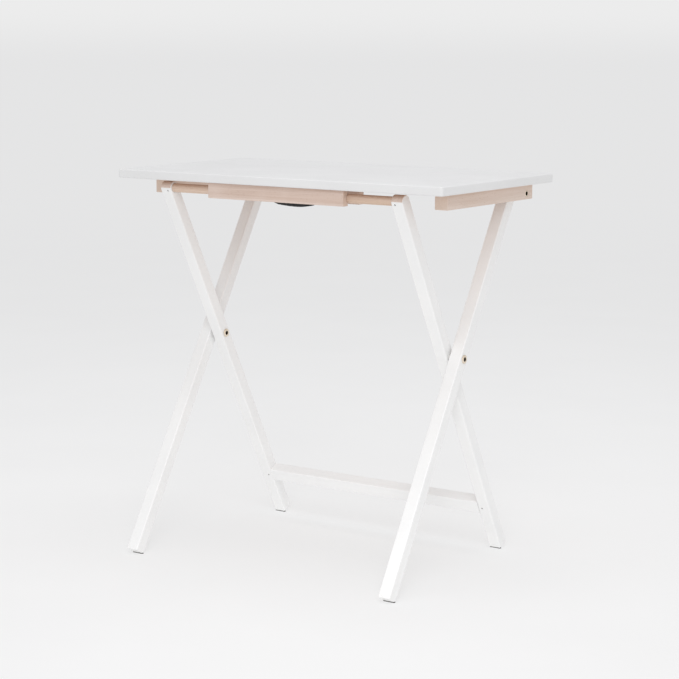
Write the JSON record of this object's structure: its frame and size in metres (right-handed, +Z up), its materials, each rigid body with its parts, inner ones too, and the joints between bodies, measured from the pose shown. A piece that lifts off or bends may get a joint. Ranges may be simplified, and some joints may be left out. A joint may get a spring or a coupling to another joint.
{
  "type": "folding table",
  "caption": "Folding side table: a rectangular top on crossed leg frames that fold flat, held open by a crossbar that snaps into a catch under the top.",
  "frame": {"origin": "on the floor, under the middle of the table's box", "axes": "+X to the right along the top, +Y to the rear, where the top is hinged, +Z up"},
  "size_m": [0.65, 0.4215, 0.66],
  "materials": {
    "white_paint": "wood under satin white paint",
    "bare_wood": "pale unfinished beech",
    "black_plastic": "moulded satin black",
    "white_plastic": "moulded satin white",
    "brass": "brass-plated, lightly brushed",
    "steel": "zinc-plated",
    "pad": "matt"
  },
  "bodies": {
    "outer_frame": {"outer_leg_left": "white_paint", "outer_leg_right": "white_paint", "foot_pad_front_left": "pad", "foot_pad_front_right": "pad", "pivot_bolt_left": "brass", "pivot_bolt_right": "brass", "pivot_nut_left": "brass", "pivot_nut_right": "brass", "pivot_spacer_left": "white_plastic", "pivot_spacer_right": "white_plastic", "hinge_bolt_left": "brass", "hinge_bolt_right": "brass", "hinge_nut_left": "brass", "hinge_nut_right": "brass", "hinge_washer_left": "steel", "hinge_washer_right": "steel"},
    "inner_frame": {"inner_leg_left": "white_paint", "inner_leg_right": "white_paint", "foot_pad_rear_left": "pad", "foot_pad_rear_right": "pad", "latch_dowel": "bare_wood", "stretcher": "white_paint", "dowel_pin_left": "steel", "dowel_pin_right": "steel", "stretcher_pin_left": "steel", "stretcher_pin_right": "steel"},
    "top": {"tabletop": "white_paint", "cleat_left": "bare_wood", "cleat_right": "bare_wood", "catch_rail_front": "bare_wood", "catch_rail_rear": "bare_wood", "catch_clip": "black_plastic", "cleat_screw_left_front": "steel", "cleat_screw_left_rear": "steel", "cleat_screw_right_front": "steel", "cleat_screw_right_rear": "steel", "rail_screw_front_left": "steel", "rail_screw_front_right": "steel", "rail_screw_rear_left": "steel", "rail_screw_rear_right": "steel", "clip_screw_left": "steel", "clip_screw_right": "steel"}
  },
  "joints": [
    {"name": "leg_fold", "type": "hinge", "parent": "outer_frame", "child": "inner_frame", "pos_m": [0, 0.01173, 0.3636], "axis": [-1, 0, 0], "range_deg": [0, 58.5]},
    {"name": "top_fold", "type": "hinge", "parent": "outer_frame", "child": "top", "pos_m": [0, 0.168, 0.627], "axis": [-1, 0, 0], "range_deg": [0, 120.67]}
  ],
  "couplings": [
    {"joint": "top_fold", "follows": "leg_fold", "ratio": 2.0627}
  ]
}
